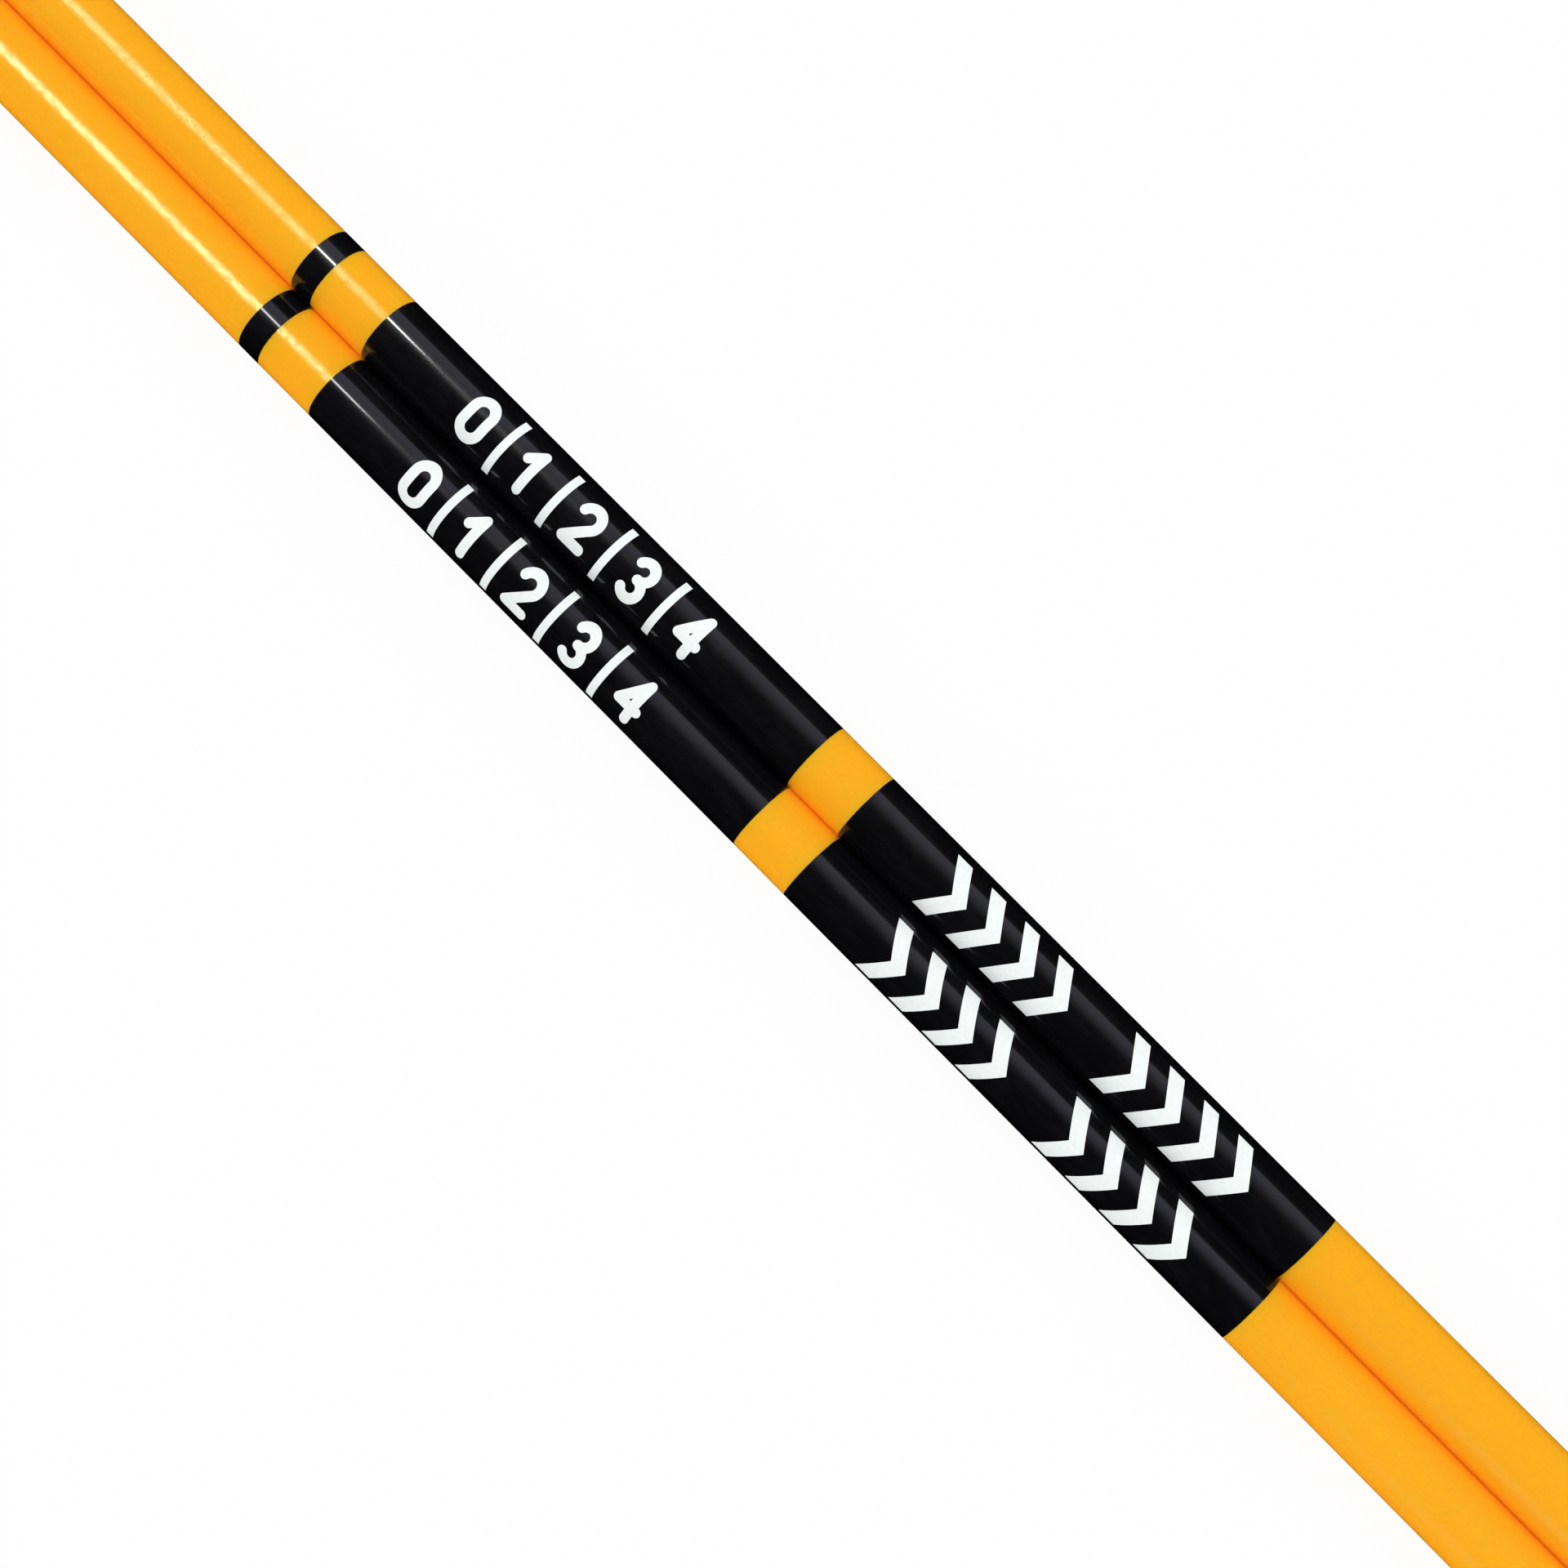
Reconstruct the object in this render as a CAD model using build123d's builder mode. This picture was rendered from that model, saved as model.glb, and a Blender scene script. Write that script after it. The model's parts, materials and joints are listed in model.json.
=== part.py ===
from build123d import *

import os
from math import cos, pi, radians, sin

# A pair of golf alignment sticks lying side by side on the floor.
# Millimetres, +Z up. +X runs along the sticks from the pointed end to the butt end, the way the marks read.
# The origin is on the floor, midway between the two sticks and midway along them.

# Driving dimensions: the rod
ROD_RADIUS = 4.0
STICK_LENGTH = 1219.0  # 48 inches over both caps
FILM_THICKNESS = 0.02
INK_THICKNESS = 0.02
OUTER_RADIUS = ROD_RADIUS + FILM_THICKNESS  # film and caps are flush, so the sticks lie straight

# Driving dimensions: how the two sticks lie
GAP_BETWEEN_STICKS = 0.01
END_STAGGER = 0.35  # how much further along +X stick A lies
ROLL_A = 12.0  # how far stick A is rolled away from stick B, in degrees

# Driving dimensions: the printed films, counted from the middle of the stick
RING_START = -72.6
RING_LENGTH = 2.9
RING_TO_SCALE_BAND = 7.65
SCALE_BAND_LENGTH = 62.6
BAND_TO_BAND = 7.2
ARROW_BAND_LENGTH = 61.6
SEAM_GAP = 0.3  # between the two long edges of a film
SEAM_TURN = 145.0  # from the middle of the print round to the seam, in degrees

# Driving dimensions: the ends
SPIGOT_RADIUS = 3.2
BUTT_CAP_LENGTH = 18.0
BUTT_SPIGOT_LENGTH = 13.0
BUTT_DOME_LENGTH = 3.0
BUTT_FLAT_RADIUS = 2.5
TIP_GUARD_LENGTH = 38.0
TIP_GUARD_WALL_AT_END = 3.5
TIP_GUARD_CLEARANCE = 0.05
TIP_NOSE_LENGTH = 3.5
TIP_NOSE_FLAT_RADIUS = 1.2
NECK_LENGTH = 14.0
CONE_LENGTH = 18.5
POINT_RADIUS = 0.8
GROOVE_WIDTH = 1.2
GROOVE_DEPTH = 0.35
GROOVE_PITCH = 3.0
GROOVE_COUNT = 4
FIRST_GROOVE_FROM_RIM = 5.0
EDGE_BREAK = 0.2

# Driving dimensions: the white marks
MARK_HEIGHT = 6.6
SCALE_PITCH = 7.8
SCALE_START = 14.2  # from the start of its band to the first numeral's middle
TICK_WIDTH = 0.9
NUMERAL_HEIGHT = 5.4
NUMERAL_WIDTH = 3.5
STROKE = 1.1
NUMERALS = 5
TWO_BOWL_END = -35.0  # in degrees, as the two arcs below
TWO_BOWL_ARC = 195.0
THREE_BOWL_ARC = 240.0
CHEVRON_THICKNESS = 2.0
CHEVRON_REACH = 2.5
CHEVRON_PITCH = 4.7
CHEVRONS_IN_GROUP = 4
ARROW_GROUP_STARTS = (10.1, 34.9)  # from the start of their band

# Worked out from the above
HALF_LENGTH = STICK_LENGTH / 2
TIP_SHOULDER = TIP_GUARD_LENGTH - HALF_LENGTH
BUTT_SHOULDER = HALF_LENGTH - BUTT_CAP_LENGTH
SCALE_BAND_START = RING_START + RING_LENGTH + RING_TO_SCALE_BAND
ARROW_BAND_START = SCALE_BAND_START + SCALE_BAND_LENGTH + BAND_TO_BAND
AXIS_OFFSET = OUTER_RADIUS + GAP_BETWEEN_STICKS / 2
TOP = 90.0  # the angle of straight up, counted from +Y towards +Z


class Stick:
    """Where one stick lies, and which way its print faces."""

    def __init__(self, name, x, y, print_angle):
        self.name = name
        self.centre = Vector(x, y, OUTER_RADIUS)
        self.axis = Axis(self.centre, (1, 0, 0))
        self.print_angle = print_angle

    def plane_at(self, angle):
        """The plane through the stick's axis, its x along the stick and its y pointing out at angle."""
        outwards = Vector(0, 1, 0).rotate(Axis.X, angle)
        return Plane(origin=self.centre, x_dir=(1, 0, 0), z_dir=Vector(1, 0, 0).cross(outwards))

    def plane_facing_print(self):
        """The plane through the stick's axis that is seen square on from straight above the print."""
        return self.plane_at(self.print_angle - 90)


def save(piece, name):
    """Write one finished piece as its own STEP file."""
    piece.part.label = name
    export_step(piece.part, f"parts/{name}.step")


def build_rod(stick):
    """The glass-fibre rod: a ground point and neck at one end, a ground spigot at the other."""
    neck_end = TIP_SHOULDER - NECK_LENGTH
    point = neck_end - CONE_LENGTH
    spigot_end = BUTT_SHOULDER + BUTT_SPIGOT_LENGTH
    with BuildPart() as rod:
        with BuildSketch(stick.plane_at(TOP)):
            with BuildLine():
                Polyline(
                    (point, 0),
                    (point, POINT_RADIUS),
                    (neck_end, SPIGOT_RADIUS),
                    (TIP_SHOULDER, SPIGOT_RADIUS),
                    (TIP_SHOULDER, ROD_RADIUS - EDGE_BREAK),
                    (TIP_SHOULDER + EDGE_BREAK, ROD_RADIUS),
                    (BUTT_SHOULDER - EDGE_BREAK, ROD_RADIUS),
                    (BUTT_SHOULDER, ROD_RADIUS - EDGE_BREAK),
                    (BUTT_SHOULDER, SPIGOT_RADIUS),
                    (spigot_end - EDGE_BREAK, SPIGOT_RADIUS),
                    (spigot_end, SPIGOT_RADIUS - EDGE_BREAK),
                    (spigot_end, 0),
                    close=True,
                )
            make_face()
        revolve(axis=stick.axis)
    return rod


def build_butt_cap(stick):
    """The fixed cap over the butt spigot: flush with the film, domed, with a small flat end."""
    dome_start = HALF_LENGTH - BUTT_DOME_LENGTH
    spigot_end = BUTT_SHOULDER + BUTT_SPIGOT_LENGTH
    with BuildPart() as cap:
        with BuildSketch(stick.plane_at(TOP)):
            with BuildLine():
                Line((BUTT_SHOULDER, SPIGOT_RADIUS), (BUTT_SHOULDER, OUTER_RADIUS - EDGE_BREAK))
                Line((BUTT_SHOULDER, OUTER_RADIUS - EDGE_BREAK), (BUTT_SHOULDER + EDGE_BREAK, OUTER_RADIUS))
                Line((BUTT_SHOULDER + EDGE_BREAK, OUTER_RADIUS), (dome_start, OUTER_RADIUS))
                TangentArc((dome_start, OUTER_RADIUS), (HALF_LENGTH, BUTT_FLAT_RADIUS), tangent=(1, 0))
                Line((HALF_LENGTH, BUTT_FLAT_RADIUS), (HALF_LENGTH, 0))
                Line((HALF_LENGTH, 0), (spigot_end, 0))
                Line((spigot_end, 0), (spigot_end, SPIGOT_RADIUS))
                Line((spigot_end, SPIGOT_RADIUS), (BUTT_SHOULDER, SPIGOT_RADIUS))
            make_face()
        revolve(axis=stick.axis)
    return cap


def build_tip_guard(stick):
    """The soft guard that pulls off the ground point, with shallow grooves to grip it by."""
    bore_radius = SPIGOT_RADIUS + TIP_GUARD_CLEARANCE
    bore_end = TIP_GUARD_WALL_AT_END - HALF_LENGTH
    nose_end = TIP_NOSE_LENGTH - HALF_LENGTH
    groove_radius = (GROOVE_WIDTH**2 / 4 + GROOVE_DEPTH**2) / (2 * GROOVE_DEPTH)
    with BuildPart() as guard:
        with BuildSketch(stick.plane_at(TOP)):
            with BuildLine():
                Line((TIP_SHOULDER, bore_radius), (TIP_SHOULDER, OUTER_RADIUS - EDGE_BREAK))
                Line((TIP_SHOULDER, OUTER_RADIUS - EDGE_BREAK), (TIP_SHOULDER - EDGE_BREAK, OUTER_RADIUS))
                Line((TIP_SHOULDER - EDGE_BREAK, OUTER_RADIUS), (nose_end, OUTER_RADIUS))
                TangentArc((nose_end, OUTER_RADIUS), (-HALF_LENGTH, TIP_NOSE_FLAT_RADIUS), tangent=(-1, 0))
                Line((-HALF_LENGTH, TIP_NOSE_FLAT_RADIUS), (-HALF_LENGTH, 0))
                Line((-HALF_LENGTH, 0), (bore_end, 0))
                Line((bore_end, 0), (bore_end, bore_radius))
                Line((bore_end, bore_radius), (TIP_SHOULDER, bore_radius))
            make_face()
        revolve(axis=stick.axis)
        with BuildSketch(stick.plane_at(TOP)):
            for groove in range(GROOVE_COUNT):
                middle = TIP_SHOULDER - FIRST_GROOVE_FROM_RIM - groove * GROOVE_PITCH
                with Locations((middle, OUTER_RADIUS - GROOVE_DEPTH + groove_radius)):
                    Circle(groove_radius)
        revolve(axis=stick.axis, mode=Mode.SUBTRACT)
    return guard


def build_film(stick, start, length):
    """A thin black film wrapped once round the rod, its two long edges nearly meeting at the seam."""
    seam_turn = SEAM_GAP / (2 * pi * ROD_RADIUS) * 360
    first_edge = stick.print_angle + SEAM_TURN + seam_turn / 2
    with BuildPart() as film:
        with BuildSketch(stick.plane_at(first_edge)):
            with Locations((start, ROD_RADIUS)):
                Rectangle(length, FILM_THICKNESS, align=(Align.MIN, Align.MIN))
        revolve(axis=stick.axis, revolution_arc=360 - seam_turn)
    return film


def straight_stroke(start, end):
    """A pen stroke with round ends, in the sketch being drawn."""
    middle = ((start[0] + end[0]) / 2, (start[1] + end[1]) / 2)
    SlotCenterPoint(middle, end, STROKE)


def round_stroke(centre, radius, start_angle, arc_angle):
    """A curved pen stroke with round ends, in the sketch being drawn."""
    SlotArc(CenterArc(centre, radius, start_angle, arc_angle, mode=Mode.PRIVATE), STROKE)


def draw_numeral(value):
    """One numeral from 0 to 4, centred, in the sketch being drawn."""
    side = (NUMERAL_WIDTH - STROKE) / 2
    top = (NUMERAL_HEIGHT - STROKE) / 2
    if value == 0:
        hole_height = NUMERAL_HEIGHT - 2 * STROKE
        hole_width = NUMERAL_WIDTH - 2 * STROKE
        SlotOverall(NUMERAL_HEIGHT, NUMERAL_WIDTH, rotation=90)
        SlotOverall(hole_height, hole_width, rotation=90, mode=Mode.SUBTRACT)
    elif value == 1:
        straight_stroke((0, -top), (0, top))
        straight_stroke((0, top), (-side, top - side))
    elif value == 2:
        turn = radians(TWO_BOWL_END)
        bowl_end = (side * cos(turn), top - side + side * sin(turn))
        round_stroke((0, top - side), side, TWO_BOWL_END, TWO_BOWL_ARC)
        straight_stroke(bowl_end, (-side, -top))
        straight_stroke((-side, -top), (side, -top))
    elif value == 3:
        round_stroke((0, top / 2), top / 2, -90, THREE_BOWL_ARC)
        round_stroke((0, -top / 2), top / 2, 90, -THREE_BOWL_ARC)
    elif value == 4:
        straight_stroke((side / 2, top), (-side, -top / 3))
        straight_stroke((-side, -top / 3), (side, -top / 3))
        straight_stroke((side / 2, top), (side / 2, -top))


def draw_scale():
    """Flat artwork: numerals with a tick between each, x counted from the start of the band."""
    with BuildSketch() as artwork:
        for value in range(NUMERALS):
            middle = SCALE_START + value * SCALE_PITCH
            with Locations((middle, 0)):
                draw_numeral(value)
            if value > 0:
                with Locations((middle - SCALE_PITCH / 2, 0)):
                    Rectangle(TICK_WIDTH, MARK_HEIGHT)
    return artwork


def draw_arrows():
    """Flat artwork: two groups of chevrons pointing along the stick, x counted as in draw_scale."""
    half = MARK_HEIGHT / 2
    with BuildSketch() as artwork:
        for group_start in ARROW_GROUP_STARTS:
            for chevron in range(CHEVRONS_IN_GROUP):
                back = group_start + chevron * CHEVRON_PITCH
                Polygon(
                    (back, half),
                    (back + CHEVRON_REACH, 0),
                    (back, -half),
                    (back + CHEVRON_THICKNESS, -half),
                    (back + CHEVRON_THICKNESS + CHEVRON_REACH, 0),
                    (back + CHEVRON_THICKNESS, half),
                    align=None,
                )
    return artwork


def build_print(stick, artwork, band_start, band_length):
    """A thin layer of white ink on top of a film, in the shape of the flat artwork."""
    with BuildPart() as ink:
        with BuildSketch(stick.plane_facing_print()):
            with Locations((band_start, 0)):
                add(artwork.sketch)
        extrude(amount=2 * OUTER_RADIUS)
        with BuildSketch(Plane.YZ.offset(stick.centre.X + band_start)):
            with Locations((stick.centre.Y, stick.centre.Z)):
                Circle(OUTER_RADIUS + INK_THICKNESS)
        extrude(amount=band_length, mode=Mode.INTERSECT)
        with BuildSketch(Plane.YZ.offset(stick.centre.X + band_start)):
            with Locations((stick.centre.Y, stick.centre.Z)):
                Circle(OUTER_RADIUS)
        extrude(amount=band_length, mode=Mode.SUBTRACT)
    return ink


sticks = (
    Stick("a", END_STAGGER / 2, -AXIS_OFFSET, TOP + ROLL_A),
    Stick("b", -END_STAGGER / 2, AXIS_OFFSET, TOP),
)
scale = draw_scale()
arrows = draw_arrows()

os.makedirs("parts", exist_ok=True)
for stick in sticks:
    save(build_rod(stick), f"rod_{stick.name}")
    save(build_butt_cap(stick), f"butt_cap_{stick.name}")
    save(build_tip_guard(stick), f"tip_guard_{stick.name}")
    save(build_film(stick, RING_START, RING_LENGTH), f"ring_film_{stick.name}")
    save(build_film(stick, SCALE_BAND_START, SCALE_BAND_LENGTH), f"scale_film_{stick.name}")
    save(build_film(stick, ARROW_BAND_START, ARROW_BAND_LENGTH), f"arrow_film_{stick.name}")
    save(build_print(stick, scale, SCALE_BAND_START, SCALE_BAND_LENGTH), f"scale_print_{stick.name}")
    save(build_print(stick, arrows, ARROW_BAND_START, ARROW_BAND_LENGTH), f"arrow_print_{stick.name}")
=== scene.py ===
import json
import math

import bmesh
import bpy
from mathutils import Matrix, Vector

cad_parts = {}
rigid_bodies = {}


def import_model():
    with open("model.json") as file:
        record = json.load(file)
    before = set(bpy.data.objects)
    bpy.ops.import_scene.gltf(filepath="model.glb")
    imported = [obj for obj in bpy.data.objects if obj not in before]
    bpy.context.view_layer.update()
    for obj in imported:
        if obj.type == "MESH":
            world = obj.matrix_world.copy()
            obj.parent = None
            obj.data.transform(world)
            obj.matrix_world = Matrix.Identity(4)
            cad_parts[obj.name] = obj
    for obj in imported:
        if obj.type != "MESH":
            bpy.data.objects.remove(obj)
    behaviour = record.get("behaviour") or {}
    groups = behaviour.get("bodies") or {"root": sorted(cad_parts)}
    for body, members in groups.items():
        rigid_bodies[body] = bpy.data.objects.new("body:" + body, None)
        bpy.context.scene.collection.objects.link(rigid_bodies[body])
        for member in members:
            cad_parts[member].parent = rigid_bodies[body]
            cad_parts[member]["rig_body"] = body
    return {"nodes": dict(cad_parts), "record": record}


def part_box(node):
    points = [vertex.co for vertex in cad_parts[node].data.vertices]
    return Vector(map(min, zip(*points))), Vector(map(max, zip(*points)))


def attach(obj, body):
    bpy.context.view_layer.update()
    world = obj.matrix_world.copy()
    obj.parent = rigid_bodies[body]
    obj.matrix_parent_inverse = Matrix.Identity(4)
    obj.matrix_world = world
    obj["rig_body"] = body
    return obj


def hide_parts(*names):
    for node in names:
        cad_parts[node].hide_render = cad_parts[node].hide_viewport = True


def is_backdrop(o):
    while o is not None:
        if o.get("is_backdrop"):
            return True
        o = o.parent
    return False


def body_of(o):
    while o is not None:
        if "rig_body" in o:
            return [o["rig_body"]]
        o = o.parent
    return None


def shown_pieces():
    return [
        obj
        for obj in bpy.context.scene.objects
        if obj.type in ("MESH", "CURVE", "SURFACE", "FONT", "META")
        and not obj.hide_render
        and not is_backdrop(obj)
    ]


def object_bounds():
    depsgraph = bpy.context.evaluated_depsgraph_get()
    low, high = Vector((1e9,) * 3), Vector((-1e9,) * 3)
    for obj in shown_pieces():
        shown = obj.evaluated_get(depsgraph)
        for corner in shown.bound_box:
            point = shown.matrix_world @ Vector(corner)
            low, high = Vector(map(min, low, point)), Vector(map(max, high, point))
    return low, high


# Looks for a pair of golf alignment sticks. Metres, in the frame of the CAD part.

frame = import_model()
cad_low, cad_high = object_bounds()

MM = 0.001
STICKS = ("a", "b")
FILM_KINDS = ("ring_film", "scale_film", "arrow_film")
PRINT_KINDS = ("scale_print", "arrow_print")
FILM_OVERHANG = 0.1 * MM  # how far a film reaches over the groove the rod has under it
FILM_STEP = 0.005 * MM  # how far a film stands above the bare rod
SOFT_SHARE = 0.6  # how much of a film's thickness its rounded ends take

RING_SEGMENTS = 144
DOME_STEPS = 24
SECTION_LENGTH = 12 * MM  # long straight runs are cut into sections no longer than this
EDGE_STRIP = 0.05 * MM  # smooth shading rounds a straight run only this close to its ends
SHORTEST_WITH_STRIPS = 8 * EDGE_STRIP
SHARP_ANGLE = math.radians(35)
NEAR = 0.01 * MM  # two places or radii closer than this are one
VERY_NEAR = 0.001 * MM  # and closer than this where a curve leaves a wall gradually


# ---------------------------------------------------------------- reading the frame


def mount_point(name):
    """Where a mount of the record is."""
    for mount in frame["record"]["mounts"]:
        if mount["name"] == name:
            return Vector(mount["pos_m"])
    raise KeyError(name)


def rings_of(node, axis):
    """The (x, radius) of every ring of corners on a turned CAD node, in order of x."""
    found = set()
    for vertex in frame["nodes"][node].data.vertices:
        radius = math.hypot(vertex.co.y - axis.y, vertex.co.z - axis.z)
        found.add((round(vertex.co.x, 6), round(radius, 6)))
    return sorted(found)


def widest(rings):
    """The largest radius among rings."""
    return max(radius for _, radius in rings)


AXES = {stick: mount_point("butt_end_" + stick) for stick in STICKS}
FILM_RADIUS = widest(rings_of("scale_film_a", AXES["a"]))
MIDDLE = Vector((0, 0, AXES["a"].z))


# ---------------------------------------------------------------- mesh making


def cut_long_runs(outline):
    """The outline with its long straight runs cut into sections.

    A point close to each end of a run keeps it flat to the eye under smooth shading.
    """
    points = [outline[0]]
    for start, end in zip(outline, outline[1:]):
        length = math.dist(start, end)
        sections = max(1, math.ceil(length / SECTION_LENGTH))
        shares = [i / sections for i in range(1, sections)]
        if length > SHORTEST_WITH_STRIPS:
            shares = [EDGE_STRIP / length] + shares + [1 - EDGE_STRIP / length]
        for share in shares + [1]:
            x = start[0] + (end[0] - start[0]) * share
            radius = start[1] + (end[1] - start[1]) * share
            points.append((x, radius))
    return points


def arc_points(centre, radius, start_angle, end_angle, steps):
    """Points on an arc of (x, radius), with angles in degrees from +x towards larger radius."""
    points = []
    for i in range(steps + 1):
        angle = math.radians(start_angle + (end_angle - start_angle) * i / steps)
        points.append((centre[0] + radius * math.cos(angle), centre[1] + radius * math.sin(angle)))
    return points


def finish_mesh(name, bm, material):
    """Turn a bmesh into a smooth-shaded object with sharp edges where the faces turn."""
    bmesh.ops.recalc_face_normals(bm, faces=bm.faces)
    mesh = bpy.data.meshes.new(name)
    bm.to_mesh(mesh)
    bm.free()
    mesh.shade_smooth()
    mesh.set_sharp_from_angle(angle=SHARP_ANGLE)
    mesh.materials.append(material)
    piece = bpy.data.objects.new(name, mesh)
    bpy.context.scene.collection.objects.link(piece)
    return piece


def turn_outline(name, outline, axis, material, start=0.0, turn=360.0, shape=None):
    """Turn an outline of (x, radius) points round a stick's axis.

    A full turn wants an outline that starts and ends on the axis. A part turn wants a closed outline,
    and gets flat ends. shape, if given, takes (x, radius, angle) and returns the radius to use.
    """
    full = turn >= 360.0
    columns = RING_SEGMENTS if full else RING_SEGMENTS + 1
    bm = bmesh.new()
    rings = []
    for x, radius in outline:
        if radius == 0.0:
            rings.append([bm.verts.new((x, axis.y, axis.z))])
            continue
        ring = []
        for i in range(columns):
            angle = math.radians(start + turn * i / RING_SEGMENTS)
            reach = shape(x, radius, angle) if shape else radius
            y = axis.y + reach * math.cos(angle)
            z = axis.z + reach * math.sin(angle)
            ring.append(bm.verts.new((x, y, z)))
        rings.append(ring)
    pairs = list(zip(rings, rings[1:]))
    if not full:
        pairs.append((rings[-1], rings[0]))
    for first, second in pairs:
        if len(first) == 1 and len(second) == 1:
            continue
        for i in range(RING_SEGMENTS):
            j = (i + 1) % columns
            near = [first[0]] if len(first) == 1 else [first[i], first[j]]
            far = [second[0]] if len(second) == 1 else [second[j], second[i]]
            bm.faces.new(near + far)
    if not full:
        bm.faces.new([ring[0] for ring in rings])
        bm.faces.new([ring[-1] for ring in rings])
    return finish_mesh(name, bm, material)


# ---------------------------------------------------------------- material making


class Shader:
    """A node material with one Principled shader, and short ways to add the nodes used here."""

    def __init__(self, name):
        self.material = bpy.data.materials.new(name)
        self.material.use_nodes = True
        self.tree = self.material.node_tree
        self.surface = self.tree.nodes["Principled BSDF"]
        self.place = self.add("ShaderNodeTexCoord").outputs["Object"]

    def add(self, kind):
        """A new node."""
        return self.tree.nodes.new(kind)

    def link(self, source, target):
        """Lead one socket into another."""
        self.tree.links.new(source, target)

    def feed(self, socket, value):
        """Lead a socket, or set a plain value, into an input."""
        if isinstance(value, bpy.types.NodeSocket):
            self.link(value, socket)
        else:
            socket.default_value = value

    def set(self, **values):
        """Set inputs of the Principled shader: an underscore in a name stands for a space."""
        for name, value in values.items():
            self.feed(self.surface.inputs[name.replace("_", " ")], value)

    def noise(self, size, detail=2.0, roughness=0.5, along=1.0, offset=0.0):
        """Noise from 0 to 1 whose lumps are size across, and along times as long in x."""
        mapping = self.add("ShaderNodeMapping")
        mapping.inputs["Scale"].default_value = (1 / along, 1, 1)
        mapping.inputs["Location"].default_value = (offset, offset, offset)
        self.link(self.place, mapping.inputs["Vector"])
        texture = self.add("ShaderNodeTexNoise")
        texture.inputs["Scale"].default_value = 1 / size
        texture.inputs["Detail"].default_value = detail
        texture.inputs["Roughness"].default_value = roughness
        self.link(mapping.outputs["Vector"], texture.inputs["Vector"])
        return texture.outputs["Fac"]

    def remap(self, value, low, high, to_low, to_high):
        """value moved from the range low..high to the range to_low..to_high, and held inside it."""
        node = self.add("ShaderNodeMapRange")
        node.inputs["From Min"].default_value = low
        node.inputs["From Max"].default_value = high
        node.inputs["To Min"].default_value = to_low
        node.inputs["To Max"].default_value = to_high
        self.link(value, node.inputs["Value"])
        return node.outputs["Result"]

    def multiply(self, first, second):
        """The product of two values."""
        node = self.add("ShaderNodeMath")
        node.operation = "MULTIPLY"
        self.link(first, node.inputs[0])
        self.link(second, node.inputs[1])
        return node.outputs["Value"]

    def mix(self, share, first, second):
        """The colour first where share is 0 and second where it is 1."""
        node = self.add("ShaderNodeMix")
        node.data_type = "RGBA"
        colour_inputs = [socket for socket in node.inputs if socket.type == "RGBA"]
        self.feed(node.inputs["Factor"], share)
        for socket, colour in zip(colour_inputs, (first, second)):
            self.feed(socket, colour if isinstance(colour, bpy.types.NodeSocket) else (*colour, 1.0))
        return next(socket for socket in node.outputs if socket.type == "RGBA")

    def bump(self, height, depth, under=None):
        """A normal from a height of 0 to 1 that stands for depth in metres."""
        node = self.add("ShaderNodeBump")
        node.inputs["Strength"].default_value = 1.0
        node.inputs["Distance"].default_value = depth
        self.link(height, node.inputs["Height"])
        if under is not None:
            self.link(under, node.inputs["Normal"])
        return node.outputs["Normal"]


def fibreglass_material():
    """Orange-yellow pultruded glass fibre.

    Fibres run lengthwise in bundles under a resin-rich, slightly pebbled skin, and light sinks in a little.
    Where it faces the camera its colour is painted more yellow than at its edges: a painted sheen.
    """
    # painted sheen: the yellow painted where a rod faces the camera, and the more orange yellow painted
    # towards its edges
    sheen_painted_yellow = (0.97, 0.470, 0.012)
    edge_yellow_without_sheen = (0.97, 0.400, 0.012)
    cloudy_yellow = (0.95, 0.420, 0.010)
    fibre_orange = (0.84, 0.33, 0.010)
    bundle_yellow = (1.0, 0.50, 0.018)
    s = Shader("fibreglass_yellow")
    cloud = s.noise(size=9 * MM, detail=3, along=2.5)
    fibre = s.noise(size=0.16 * MM, detail=4, roughness=0.65, along=90)
    bundle = s.noise(size=0.9 * MM, detail=2, along=40, offset=0.3)
    pebble = s.noise(size=0.4 * MM, detail=2, roughness=0.6, along=1.4)
    grain = s.noise(size=0.14 * MM, detail=2, roughness=0.6)
    facing = s.add("ShaderNodeLayerWeight").outputs["Facing"]
    # painted sheen: more yellow where the rod faces the camera, more orange towards its edges, standing in
    # for a faint broad reflection
    colour = s.mix(s.remap(facing, 0.0, 0.75, 0, 1), sheen_painted_yellow, edge_yellow_without_sheen)
    colour = s.mix(s.remap(cloud, 0.35, 0.65, 0, 0.5), colour, cloudy_yellow)
    colour = s.mix(s.remap(fibre, 0.5, 0.8, 0, 0.16), colour, fibre_orange)
    colour = s.mix(s.remap(bundle, 0.55, 0.8, 0, 0.16), colour, bundle_yellow)
    worn = s.noise(size=14 * MM, detail=5, roughness=0.7, offset=0.7)
    sparkle = s.noise(size=0.35 * MM, detail=2, along=1.3, offset=0.5)
    normal = s.bump(fibre, 0.0012 * MM)
    normal = s.bump(pebble, 0.009 * MM, normal)
    normal = s.bump(grain, 0.006 * MM, normal)
    s.set(
        Base_Color=colour,
        Roughness=s.remap(worn, 0.3, 0.7, 0.16, 0.21),
        Specular_IOR_Level=s.remap(sparkle, 0.3, 0.7, 0.15, 0.75),
        Subsurface_Weight=0.8,
        Subsurface_Radius=(1.0, 0.35, 0.05),
        Subsurface_Scale=2.0 * MM,
        Normal=normal,
    )
    return s.material


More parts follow.
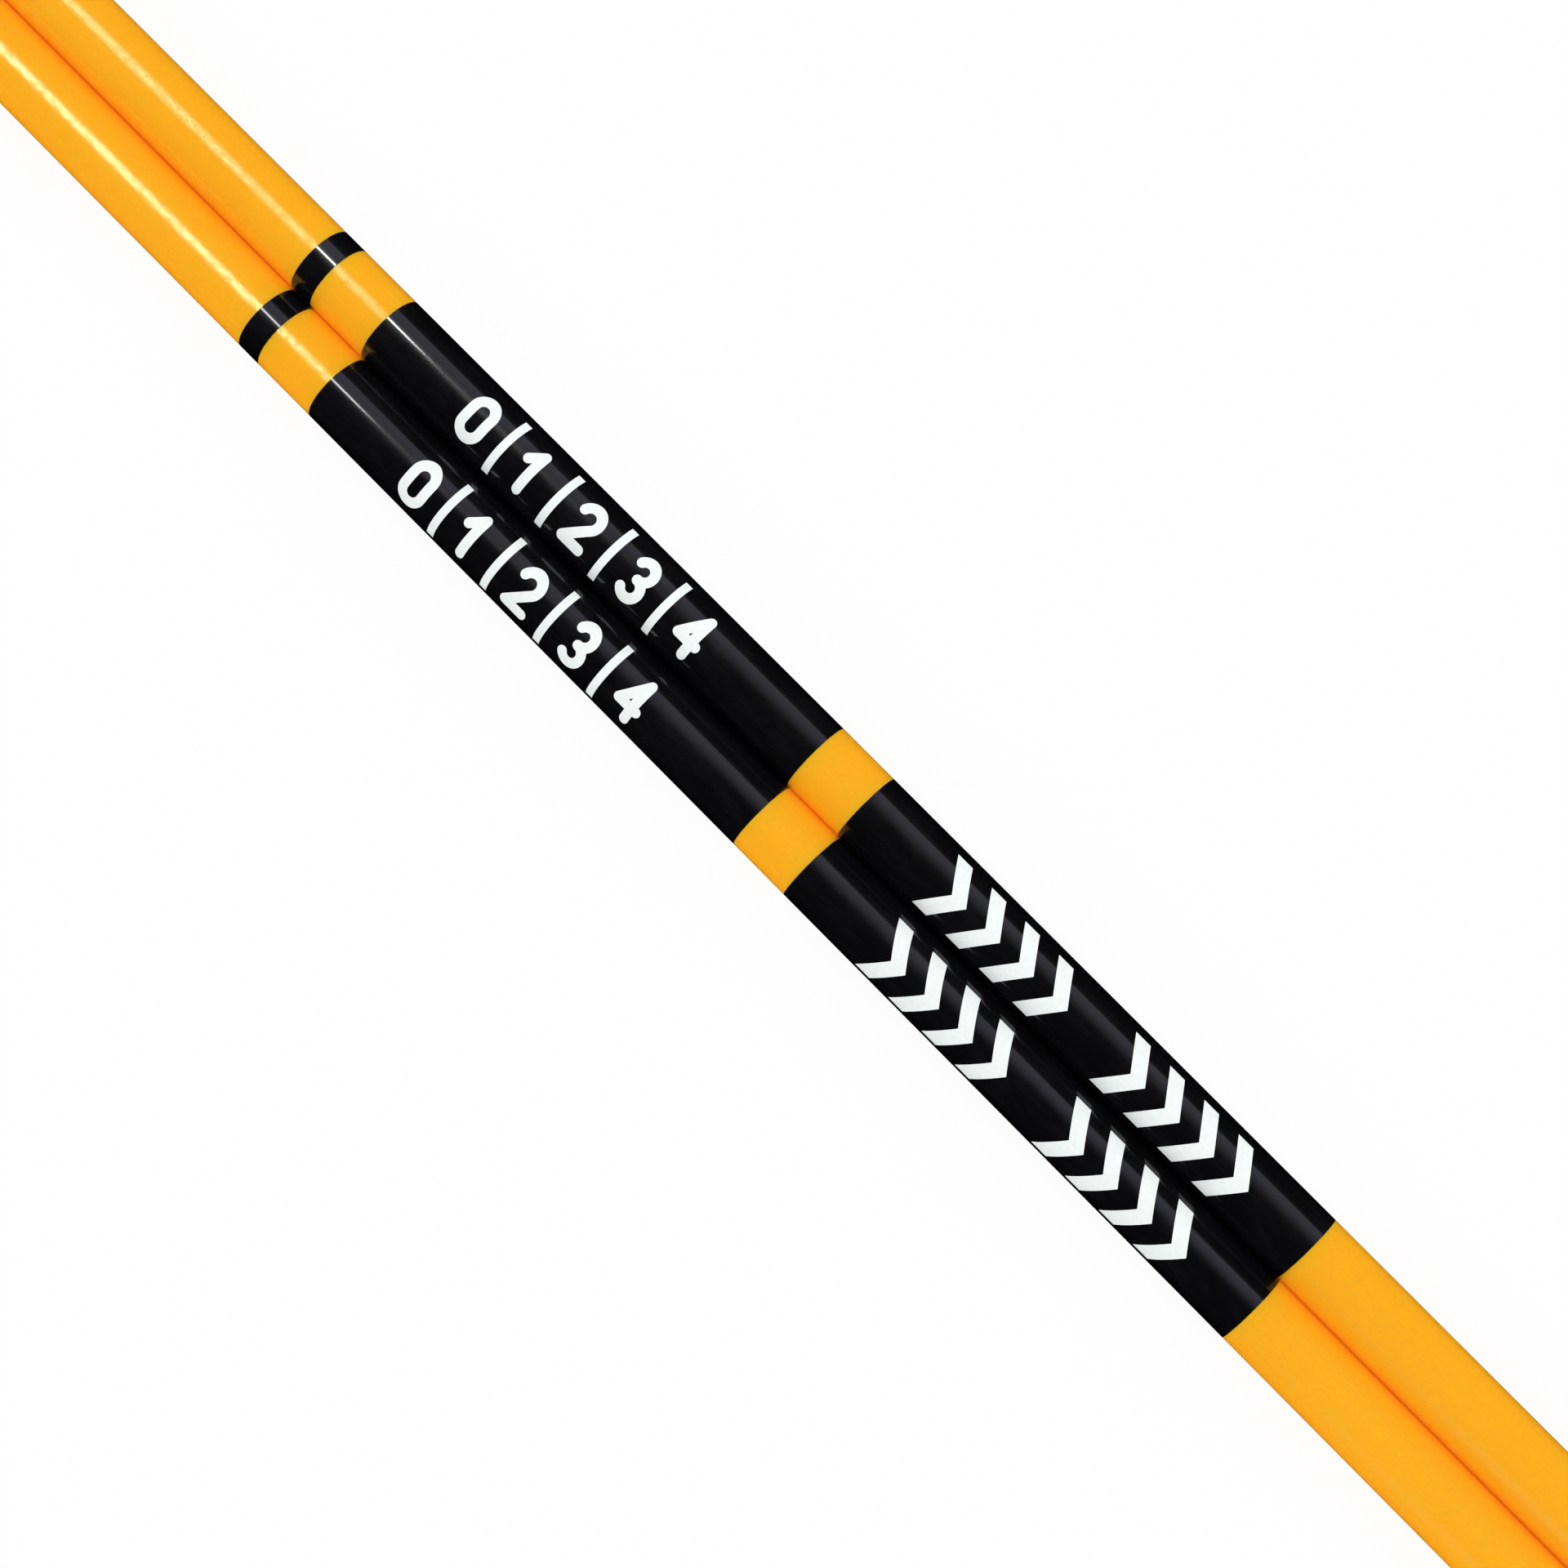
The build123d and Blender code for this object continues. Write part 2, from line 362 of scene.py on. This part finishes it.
def film_material():
    """Gloss black printed film: almost flat, with a faint pull lengthwise and fine scuffs.

    Seen in another mirror it has no gloss, so that neighbouring sticks don't pass a reflection to and fro.
    """
    black = (0.0028, 0.0026, 0.0034)
    scuffed = (0.0060, 0.0055, 0.0072)
    s = Shader("film_black")
    pull = s.noise(size=0.35 * MM, detail=2, along=60)
    grain = s.noise(size=0.18 * MM, detail=3, roughness=0.6)
    scuff = s.noise(size=2.2 * MM, detail=6, roughness=0.75, along=3)
    colour = s.mix(s.remap(scuff, 0.45, 0.75, 0, 1), black, scuffed)
    mirrored = s.add("ShaderNodeLightPath").outputs["Is Glossy Ray"]
    normal = s.bump(pull, 0.0010 * MM)
    normal = s.bump(grain, 0.0010 * MM, normal)
    s.set(
        Base_Color=colour,
        Roughness=s.remap(scuff, 0.3, 0.7, 0.22, 0.32),
        Specular_IOR_Level=0.2,
        Coat_Weight=s.remap(mirrored, 0, 1, 0.8, 0),
        Coat_Roughness=0.045,
        Normal=normal,
        Coat_Normal=normal,
    )
    return s.material


def ink_material():
    """White printed ink: even, faintly mottled, satin."""
    thin_white = (0.80, 0.86, 0.84)
    full_white = (0.90, 0.93, 0.92)
    s = Shader("ink_white")
    mottle = s.noise(size=0.5 * MM, detail=4, roughness=0.7)
    grain = s.noise(size=0.12 * MM, detail=2)
    s.set(
        Base_Color=s.mix(s.remap(mottle, 0.3, 0.7, 0, 1), thin_white, full_white),
        Roughness=s.remap(mottle, 0.3, 0.7, 0.40, 0.55),
        Specular_IOR_Level=0.3,
        Normal=s.bump(grain, 0.002 * MM),
    )
    return s.material


def cap_material():
    """Hard moulded black plastic with a fine spark texture."""
    black = (0.010, 0.010, 0.011)
    handled = (0.022, 0.022, 0.024)
    s = Shader("cap_black")
    spark = s.noise(size=0.12 * MM, detail=3, roughness=0.7)
    handling = s.noise(size=3 * MM, detail=5, roughness=0.7)
    s.set(
        Base_Color=s.mix(handling, black, handled),
        Roughness=s.remap(handling, 0.3, 0.7, 0.42, 0.6),
        Normal=s.bump(spark, 0.008 * MM),
    )
    return s.material


def guard_material():
    """Soft dipped vinyl: satin black with slow ripples and dust in its surface."""
    black = (0.012, 0.012, 0.013)
    dusty = (0.045, 0.043, 0.042)
    s = Shader("guard_black")
    ripple = s.noise(size=1.8 * MM, detail=2, along=2)
    pore = s.noise(size=0.2 * MM, detail=3, roughness=0.6)
    dust = s.noise(size=0.7 * MM, detail=6, roughness=0.8)
    normal = s.bump(ripple, 0.02 * MM)
    normal = s.bump(pore, 0.003 * MM, normal)
    s.set(
        Base_Color=s.mix(s.remap(dust, 0.5, 0.8, 0, 0.7), black, dusty),
        Roughness=s.remap(dust, 0.3, 0.8, 0.34, 0.6),
        Sheen_Weight=0.08,
        Normal=normal,
    )
    return s.material


FIBREGLASS = fibreglass_material()
FILM = film_material()
INK = ink_material()
CAP = cap_material()
GUARD = guard_material()


# ---------------------------------------------------------------- pieces

RIM_ZONE = 1.0 * MM  # a guard's rim lies within this of its open end
RIM_SHARE = 0.42  # how much of a guard's wall each rounded edge of its rim takes

# a guard's grip grooves
GROOVE_HALF = 0.72 * MM
GROOVE_REACH = 0.78 * MM  # the straight wall starts again this far from a groove's middle
GROOVE_STEPS = 12
GROOVE_SOFTNESS = 1.5

# the slow waves of a guard's wall
WAVE_DEPTH = 0.012 * MM
WAVE_LENGTH = 4.1 * MM
WAVE_TWIST = 9 * MM
WAVE_START = 1.3


def make_rod(stick):
    """The glass-fibre rod, with its ground point and spigot, turned finer than the CAD mesh.

    Its bare skin stands almost flush with the films. It is let in a little under each film, out of sight,
    so that the two surfaces never lie in one another.
    """
    node = "rod_" + stick
    rings = rings_of(node, AXES[stick])
    widest_ring = widest(rings)
    outer = FILM_RADIUS - FILM_STEP
    rings = [(x, outer if radius > widest_ring - VERY_NEAR else radius) for x, radius in rings]
    point_end = [ring for ring in rings if ring[0] < 0]
    butt_end = [ring for ring in rings if ring[0] > 0]
    butt_end.sort(key=lambda ring: (ring[0], -ring[1]))
    outline = [ring for ring in point_end if ring[1] > NEAR]
    for kind in FILM_KINDS:
        low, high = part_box(kind + "_" + stick)
        start = low.x + FILM_OVERHANG
        end = high.x - FILM_OVERHANG
        floor = outer - FILM_OVERHANG
        outline += [(start, outer), (start, floor), (end, floor), (end, outer)]
    outline += [ring for ring in butt_end if ring[1] > NEAR]
    outline = [(outline[0][0], 0.0)] + outline + [(outline[-1][0], 0.0)]
    piece = turn_outline("rod_fine_" + stick, cut_long_runs(outline), AXES[stick], FIBREGLASS)
    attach(piece, "stick_" + stick)
    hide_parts(node)


def wrap_of(node, axis):
    """The angle where a film's wrap starts, and how far it turns, in degrees.

    A film's seam is the narrowest gap between its corners.
    """
    angles = set()
    for vertex in frame["nodes"][node].data.vertices:
        angle = math.degrees(math.atan2(vertex.co.z - axis.z, vertex.co.y - axis.y)) % 360
        angles.add(round(angle, 2))
    angles = sorted(angles)
    following = angles[1:] + [angles[0] + 360]
    gap, start = min((after - before, after) for before, after in zip(angles, following))
    return start, 360 - gap


def make_film(stick, kind):
    """One black film, wrapped round the rod with its seam underneath and its ends softly rounded."""
    node = kind + "_" + stick
    axis = AXES[stick]
    low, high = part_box(node)
    rings = rings_of(node, axis)
    outer = widest(rings)
    inner = min(radius for _, radius in rings)
    soft = (outer - inner) * SOFT_SHARE
    outline = [(low.x, inner)]
    outline += arc_points((low.x + soft, outer - soft), soft, 180, 90, 4)
    outline += cut_long_runs([(low.x + soft, outer), (high.x - soft, outer)])[1:-1]
    outline += arc_points((high.x - soft, outer - soft), soft, 90, 0, 4)
    outline += [(high.x, inner)]
    start, turn = wrap_of(node, axis)
    piece = turn_outline(kind + "_fine_" + stick, outline, axis, FILM, start, turn)
    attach(piece, "stick_" + stick)
    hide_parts(node)


def dome_points(start, end, end_radius, outer):
    """An arc that leaves the outer radius smoothly at x start and reaches end_radius at x end."""
    length = abs(end - start)
    drop = outer - end_radius
    radius = (length**2 + drop**2) / (2 * drop)
    last = math.degrees(math.asin(length / radius))
    points = []
    for i in range(DOME_STEPS + 1):
        angle = math.radians(last * i / DOME_STEPS)
        x = start + math.copysign(radius * math.sin(angle), end - start)
        points.append((x, outer - radius * (1 - math.cos(angle))))
    return points


def make_butt_cap(stick):
    """The fixed cap: a softly broken rim, a fine witness line, a dome, and a gate mark in its flat end."""
    node = "butt_cap_" + stick
    axis = AXES[stick]
    low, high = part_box(node)
    rings = rings_of(node, axis)
    outer = widest(rings)
    bore = min(radius for x, radius in rings if x < low.x + NEAR)
    end_wall = 2 * MM  # the cap is solid for more than this
    bore_end = max(x for x, radius in rings if abs(radius - bore) < NEAR and x < high.x - end_wall)
    dome_start = max(x for x, radius in rings if abs(radius - outer) < VERY_NEAR)
    flat = min(radius for x, radius in rings if x > high.x - NEAR)
    rim = 0.25 * MM

    line_middle = low.x + 4 * MM
    line_half = 0.25 * MM
    line_floor_half = line_half / 3
    line_floor = outer - 0.06 * MM

    gate_mouth = 0.805 * MM
    gate_neck = 0.7 * MM
    gate_bottom = 0.56 * MM
    gate_edge = high.x - 0.075 * MM
    gate_end = high.x - 0.25 * MM

    outline = [(bore_end, 0.0), (bore_end, bore), (low.x, bore)]
    outline += arc_points((low.x + rim, outer - rim), rim, 180, 90, 6)
    outline += cut_long_runs([(low.x + rim, outer), (line_middle - line_half, outer)])[1:]
    outline += [(line_middle - line_floor_half, line_floor), (line_middle + line_floor_half, line_floor)]
    outline += cut_long_runs([(line_middle + line_half, outer), (dome_start, outer)])[:-1]
    outline += dome_points(dome_start, high.x, flat, outer)
    outline += [(high.x, gate_mouth), (gate_edge, gate_neck), (gate_end, gate_bottom), (gate_end, 0.0)]
    piece = turn_outline("butt_cap_fine_" + stick, outline, axis, CAP)
    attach(piece, "stick_" + stick)
    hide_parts(node)


def guard_groove(middle, outer, floor):
    """One soft grip groove, from its +x edge to its -x edge."""
    points = []
    for i in range(GROOVE_STEPS + 1):
        along = 1 - 2 * i / GROOVE_STEPS
        depth = 0.0
        if abs(along) < 1:
            depth = (outer - floor) * math.cos(along * math.pi / 2) ** GROOVE_SOFTNESS
        points.append((middle + along * GROOVE_HALF, outer - depth))
    return points


def make_tip_guard(stick):
    """The pull-off vinyl guard: a rolled rim, grip grooves, slightly uneven walls and a rounded nose."""
    node = "tip_guard_" + stick
    axis = AXES[stick]
    low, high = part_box(node)
    rings = rings_of(node, axis)
    outer = widest(rings)
    bore = min(radius for x, radius in rings if x > high.x - NEAR)
    bore_end = min(x for x, radius in rings if abs(radius - bore) < VERY_NEAR)
    flat = min(radius for x, radius in rings if x < low.x + NEAR)
    nose_start = min(x for x, radius in rings if abs(radius - outer) < VERY_NEAR)
    wall_end = high.x - RIM_ZONE
    walls = [(x, radius) for x, radius in rings if nose_start < x < wall_end and radius > bore + NEAR]
    groove_floor = min(radius for _, radius in walls)
    groove_middles = {round(x, 5) for x, radius in walls if radius < groove_floor + VERY_NEAR}

    rim = (outer - bore) * RIM_SHARE
    bottom = bore * 0.7
    shoulder = bore * 0.93
    shoulder_x = bore_end + 0.4 * MM
    straight_x = bore_end + 1.0 * MM

    outline = [(bore_end, 0.0), (bore_end, bottom), (shoulder_x, shoulder)]
    outline += cut_long_runs([(straight_x, bore), (high.x - rim, bore)])
    outline += arc_points((high.x - rim, bore + rim), rim, -90, 0, 6)[1:]
    outline += arc_points((high.x - rim, outer - rim), rim, 0, 90, 8)
    run_start = high.x - rim
    for middle in sorted(groove_middles, reverse=True):
        outline += cut_long_runs([(run_start, outer), (middle + GROOVE_REACH, outer)])[1:]
        outline += guard_groove(middle, outer, groove_floor)
        run_start = middle - GROOVE_REACH
    outline += cut_long_runs([(run_start, outer), (nose_start, outer)])[:-1]
    outline += dome_points(nose_start, low.x, flat, outer)
    outline += [(low.x, 0.0)]

    def uneven(x, radius, angle):
        """Slow waves that only ever thin the wall, and leave the bore alone."""
        if radius < bore + NEAR:
            return radius
        slow = math.sin(2 * angle + x / WAVE_TWIST) * math.sin(x / WAVE_LENGTH + WAVE_START)
        return radius - WAVE_DEPTH * (1 + slow)

    piece = turn_outline("tip_guard_fine_" + stick, outline, axis, GUARD, shape=uneven)
    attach(piece, "guard_" + stick)
    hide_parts(node)


def paint_ink(stick):
    """The white marks keep their CAD shape and get the ink material."""
    for kind in PRINT_KINDS:
        slots = frame["nodes"][kind + "_" + stick].material_slots
        slots[0].material = INK


for stick in STICKS:
    make_rod(stick)
    make_butt_cap(stick)
    make_tip_guard(stick)
    for kind in FILM_KINDS:
        make_film(stick, kind)
    paint_ink(stick)


# ---------------------------------------------------------------- camera

CAMERA_DISTANCE = 342 * MM
CAMERA_LEAN_X = math.tan(math.radians(7.01))
CAMERA_LEAN_Y = math.tan(math.radians(2.40))
CAMERA_TARGET = MIDDLE + Vector((0, -0.16 * MM, 0))
CAMERA_ROLL = math.radians(0.12)
CAMERA_LENS = 77.8
CAMERA_CLIP = 10 * MM


def matrix_of(right, up, back, place):
    """The world matrix of a camera or light that looks along -back."""
    turned = Matrix((right, up, back)).transposed()
    return Matrix.Translation(place) @ turned.to_4x4()


def make_camera():
    """The camera stands almost straight above, and sees +X run to the lower right. Returns its place."""
    back = Vector((CAMERA_LEAN_X, CAMERA_LEAN_Y, 1)).normalized()
    level_along = (Vector((1, 0, 0)) - back * back.x).normalized()
    level_across = back.cross(level_along)
    cos_roll, sin_roll = math.cos(CAMERA_ROLL), math.sin(CAMERA_ROLL)
    along = level_along * cos_roll + level_across * sin_roll
    across = level_across * cos_roll - level_along * sin_roll
    data = bpy.data.cameras.new("camera")
    data.lens = CAMERA_LENS
    data.clip_start = CAMERA_CLIP
    camera = bpy.data.objects.new("camera", data)
    bpy.context.scene.collection.objects.link(camera)
    place = CAMERA_TARGET + back * CAMERA_DISTANCE
    right = (along + across).normalized()
    up = (across - along).normalized()
    camera.matrix_world = matrix_of(right, up, back, place)
    bpy.context.scene.camera = camera
    return place


CAMERA_PLACE = make_camera()


# ---------------------------------------------------------------- floor and world

FLOOR_HALF = 15.0
FLOOR_DROP = 0.02 * MM  # the floor lies this far under the sticks, so that their undersides don't flicker
FLOOR_GREY = (0.84, 0.84, 0.84)
FLOOR_PALE = (0.88, 0.88, 0.88)
OPENNESS_REACH = 12 * MM
OPENNESS_DARK = 0.08  # where the floor is no more open than this it doesn't glow
OPENNESS_FULL = 0.42  # and where it is at least this open it glows most
GLOW_SHARE = 0.94
WORLD_LIGHT = 0.93  # how bright the world is as a light
WORLD_SEEN = 0.985  # and how bright the camera sees it


def make_floor():
    """A plain near-white floor, even to the camera but dark where the sticks close it in."""
    bm = bmesh.new()
    for x, y in ((-1, -1), (1, -1), (1, 1), (-1, 1)):
        bm.verts.new((x * FLOOR_HALF, y * FLOOR_HALF, cad_low.z - FLOOR_DROP))
    bm.faces.new(bm.verts)
    s = Shader("floor_white")
    fleck = s.noise(size=40 * MM, detail=3)
    s.set(Base_Color=s.mix(fleck, FLOOR_GREY, FLOOR_PALE), Roughness=0.9, Specular_IOR_Level=0.0)
    openness = s.add("ShaderNodeAmbientOcclusion")
    openness.inputs["Distance"].default_value = OPENNESS_REACH
    seen = s.add("ShaderNodeLightPath").outputs["Is Camera Ray"]
    glowing = s.remap(openness.outputs["AO"], OPENNESS_DARK, OPENNESS_FULL, 0, GLOW_SHARE)
    share = s.multiply(seen, glowing)
    glow = s.add("ShaderNodeEmission")
    mix = s.add("ShaderNodeMixShader")
    s.link(share, mix.inputs["Fac"])
    s.link(s.surface.outputs["BSDF"], mix.inputs[1])
    s.link(glow.outputs["Emission"], mix.inputs[2])
    s.link(mix.outputs["Shader"], s.tree.nodes["Material Output"].inputs["Surface"])
    floor = finish_mesh("floor", bm, s.material)
    floor.visible_glossy = False
    floor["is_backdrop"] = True


def make_world():
    """Even white light from all round, a little brighter to the camera, which polish doesn't mirror."""
    world = bpy.data.worlds.new("world")
    bpy.context.scene.world = world
    world.use_nodes = True
    tree = world.node_tree
    seen = tree.nodes.new("ShaderNodeLightPath").outputs["Is Camera Ray"]
    strength = tree.nodes.new("ShaderNodeMapRange")
    strength.inputs["To Min"].default_value = WORLD_LIGHT
    strength.inputs["To Max"].default_value = WORLD_SEEN
    tree.links.new(seen, strength.inputs["Value"])
    background = tree.nodes["Background"]
    background.inputs["Color"].default_value = (1, 1, 1, 1)
    tree.links.new(strength.outputs["Result"], background.inputs["Strength"])
    world.cycles_visibility.glossy = False


make_floor()
make_world()


# ---------------------------------------------------------------- light making

WHITE = (1, 1, 1)
LIGHT_DISTANCE = 500 * MM


def place_light(name, right, up, back, place, size, size_y, radiance, colour):
    """A rectangular light that the camera doesn't see directly."""
    data = bpy.data.lights.new(name, "AREA")
    data.shape = "RECTANGLE"
    data.size = size
    data.size_y = size_y
    data.energy = radiance * math.pi * size * size_y
    data.color = colour
    light = bpy.data.objects.new(name, data)
    bpy.context.scene.collection.objects.link(light)
    light.matrix_world = matrix_of(right, up, back, place)
    light.visible_camera = False
    return light


def fade_light(light, across, ends):
    """Fade a light near its edges.

    across holds the share of its width that each side fades over, and ends the share of its length.
    """
    data = light.data
    data.use_nodes = True
    tree = data.node_tree
    place = tree.nodes.new("ShaderNodeNewGeometry")
    split = tree.nodes.new("ShaderNodeSeparateXYZ")
    tree.links.new(place.outputs["Parametric"], split.inputs[0])

    def smooth(source, low, high):
        node = tree.nodes.new("ShaderNodeMapRange")
        node.interpolation_type = "SMOOTHSTEP"
        node.inputs["From Min"].default_value = low
        node.inputs["From Max"].default_value = high
        tree.links.new(source, node.inputs["Value"])
        return node.outputs["Result"]

    def times(first, second):
        node = tree.nodes.new("ShaderNodeMath")
        node.operation = "MULTIPLY"
        tree.links.new(first, node.inputs[0])
        tree.links.new(second, node.inputs[1])
        return node.outputs["Value"]

    along = times(smooth(split.outputs["X"], 0, ends), smooth(split.outputs["X"], 1, 1 - ends))
    low_side, high_side = across
    width = times(smooth(split.outputs["Y"], 0, low_side), smooth(split.outputs["Y"], 1, 1 - high_side))
    tree.links.new(times(along, width), tree.nodes["Emission"].inputs["Strength"])


def light_only(light, pieces):
    """Let a light reach these pieces and nothing else."""
    group = bpy.data.collections.new("lit_by_" + light.name)
    for piece in pieces:
        group.objects.link(piece)
    light.light_linking.receiver_collection = group


def pieces_of(stick, yellow):
    """The shown pieces of one stick: its yellow rod, or the films, prints, cap and guard on it."""
    bodies = {"stick_" + stick, "guard_" + stick}
    found = [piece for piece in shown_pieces() if bodies & set(body_of(piece))]
    return [piece for piece in found if yellow == piece.name.startswith("rod")]


# ---------------------------------------------------------------- soft light

SOFT_LEAN = Vector((0.05, 0.45, 1))
SOFT_DISTANCE = 1.5
SOFT_SIZE = 1.2
SOFT_RADIANCE = 1.0

PANEL_DISTANCE = 2.5
PANEL_ELEVATION = math.radians(32)
PANEL_WIDTH = 2.4
PANEL_HEIGHT = 2.1
PANEL_RADIANCE = 1.3
PANEL_FADE = 0.3


def make_soft_light():
    """A broad soft light overhead, a little towards +Y, that shapes the sticks."""
    back = SOFT_LEAN.normalized()
    right = (Vector((1, 0, 0)) - back * back.x).normalized()
    up = back.cross(right)
    place = MIDDLE + back * SOFT_DISTANCE
    light = place_light("soft", right, up, back, place, SOFT_SIZE, SOFT_SIZE, SOFT_RADIANCE, WHITE)
    light.visible_glossy = False


def make_end_panel(name, side):
    """A soft panel off one end of the sticks, for polish alone. It shows from the ends, not from above."""
    back = Vector((side * math.cos(PANEL_ELEVATION), 0, math.sin(PANEL_ELEVATION)))
    right = Vector((0, 1, 0))
    up = back.cross(right)
    place = MIDDLE + back * PANEL_DISTANCE
    panel = place_light(name, right, up, back, place, PANEL_WIDTH, PANEL_HEIGHT, PANEL_RADIANCE, WHITE)
    panel.visible_diffuse = False
    fade_light(panel, across=(PANEL_FADE, PANEL_FADE), ends=PANEL_FADE)


make_soft_light()
make_end_panel("panel_point", -1)
make_end_panel("panel_butt", 1)


# ---------------------------------------------------------------- fill light

SUN_OF_ONE = math.pi  # a sun of this strength lights a facing surface as much as a radiance of 1 all round
INNER_FILL = (0.24, 0.21, 0.5)
OUTER_FILL = (0.32, 0.20, 0.4)
INNER_FILL_ELEVATION = math.radians(-45)
OUTER_FILL_ELEVATION = math.radians(-30)
FILL_SPREAD = math.radians(20)


def make_fill(stick, side, elevation, colour):
    """Light that nothing shades, for one stick's rod, from side +1 or -1 along Y and from below.

    It stands for the light that runs through the glass fibre into the places the other lights can't reach.
    """
    data = bpy.data.lights.new("fill_" + stick, "SUN")
    data.energy = SUN_OF_ONE
    data.angle = FILL_SPREAD
    data.color = colour
    light = bpy.data.objects.new("fill_" + stick, data)
    bpy.context.scene.collection.objects.link(light)
    back = Vector((0, side * math.cos(elevation), math.sin(elevation)))
    right = Vector((1, 0, 0))
    light.matrix_world = matrix_of(right, back.cross(right), back, MIDDLE)
    light.visible_glossy = False
    light_only(light, pieces_of(stick, yellow=True))
    # a light is shaded only by what its blocker collection holds: the camera, which shades nothing
    shading = bpy.data.collections.new("shades_" + light.name)
    shading.objects.link(bpy.context.scene.camera)
    light.light_linking.blocker_collection = shading


make_fill("a", 1, INNER_FILL_ELEVATION, INNER_FILL)
make_fill("b", -1, INNER_FILL_ELEVATION, INNER_FILL)
make_fill("a", -1, OUTER_FILL_ELEVATION, OUTER_FILL)


# ---------------------------------------------------------------- reflections


def degrees(*values):
    """Angles in degrees as a tuple of radians."""
    return tuple(math.radians(value) for value in values)


COOL = (0.80, 0.78, 1.0)
WARM = (0.9, 1.0, 0.62)

# how far the reflections reach along the sticks, and how far the sharp ones go over each first long film
FAR_LEFT = -260 * MM
FAR_RIGHT = 200 * MM
SHARP_REACH = {"a": 6.575 * MM, "b": 5.825 * MM}
SHARP_END_FADE = 0.02

# for each kind of reflection: the range of the skin's lean towards +Y that it fills, its radiance, and the
# share of its width that each side fades over
GLINT_LEAN = {"a": degrees(5.4, 8.7), "b": degrees(11.3, 14.8)}
GLINT_RADIANCE = {"a": 18, "b": 31}
GLINT_FADE = (0.1, 0.1)

SHINE_LEAN = {"a": degrees(-3.5, 13.5), "b": degrees(1.5, 20.5)}
SHINE_RADIANCE = {"a": 17, "b": 9}
SHINE_FADE = (0.35, 0.35)

BROAD_LEAN = {"a": degrees(0.0, 25.0), "b": degrees(6.7, 33.8)}
BROAD_RADIANCE = 0.85
BROAD_FADE = (0.85, 0.12)

SHEEN_LEAN = degrees(-45, -15)
SHEEN_RADIANCE = 0.9
SHEEN_FADE = (0.5, 0.5)
SHEEN_RANGE = (65 * MM, 230 * MM)
SHEEN_END_FADE = 0.3


def seen_in(stick, x, lean):
    """Where a light stands to be seen mirrored in a stick at x, where its skin leans towards +Y by lean."""
    axis = AXES[stick]
    normal = Vector((0, math.sin(lean), math.cos(lean)))
    point = Vector((x, axis.y, axis.z)) + normal * FILM_RADIUS
    towards_camera = (CAMERA_PLACE - point).normalized()
    return point + (2 * normal.dot(towards_camera) * normal - towards_camera) * LIGHT_DISTANCE


def make_mirrored_light(name, stick, x_range, lean_range, radiance, colour):
    """A light for polish alone, whose mirror image on one stick fills a range of x and of lean."""
    mean_lean = sum(lean_range) / 2
    mean_x = sum(x_range) / 2
    start, end = (seen_in(stick, x, mean_lean) for x in x_range)
    low, high = (seen_in(stick, mean_x, lean) for lean in lean_range)
    right = (end - start).normalized()
    rise = high - low
    rise -= right * rise.dot(right)
    up = rise.normalized()
    back = right.cross(rise).normalized()
    place = (start + end) / 2
    length = (end - start).length
    light = place_light(name, right, up, back, place, length, rise.length, radiance, colour)
    light.visible_diffuse = False
    return light


def sharp_range(stick):
    """The stretch of a stick, in x, that its sharp reflections fill."""
    film_low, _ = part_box("scale_film_" + stick)
    return FAR_LEFT, film_low.x + SHARP_REACH[stick]


def add_glint(stick):
    """A bright narrow line along everything black."""
    reach = sharp_range(stick)
    radiance = GLINT_RADIANCE[stick]
    light = make_mirrored_light("glint_" + stick, stick, reach, GLINT_LEAN[stick], radiance, WHITE)
    fade_light(light, GLINT_FADE, SHARP_END_FADE)
    light_only(light, pieces_of(stick, yellow=False))


def add_shine(stick):
    """The same line along the yellow rod, whose pebbled skin breaks it up, so its light is wider."""
    reach = sharp_range(stick)
    radiance = SHINE_RADIANCE[stick]
    light = make_mirrored_light("shine_" + stick, stick, reach, SHINE_LEAN[stick], radiance, WARM)
    fade_light(light, SHINE_FADE, SHARP_END_FADE)
    light_only(light, pieces_of(stick, yellow=True))


def add_broad(stick):
    """A faint broad band along the whole of everything black."""
    reach = (FAR_LEFT, FAR_RIGHT)
    light = make_mirrored_light("broad_" + stick, stick, reach, BROAD_LEAN[stick], BROAD_RADIANCE, COOL)
    fade_light(light, BROAD_FADE, SHARP_END_FADE)
    light_only(light, pieces_of(stick, yellow=False))


def add_sheen(stick):
    """A faint soft band on the side of the yellow rod, past the second long film."""
    light = make_mirrored_light("sheen_" + stick, stick, SHEEN_RANGE, SHEEN_LEAN, SHEEN_RADIANCE, WARM)
    fade_light(light, SHEEN_FADE, SHEEN_END_FADE)
    light_only(light, pieces_of(stick, yellow=True))


for stick in STICKS:
    add_glint(stick)
    add_shine(stick)
    add_broad(stick)
    add_sheen(stick)


# ---------------------------------------------------------------- colour view

bpy.context.scene.view_settings.view_transform = "Standard"
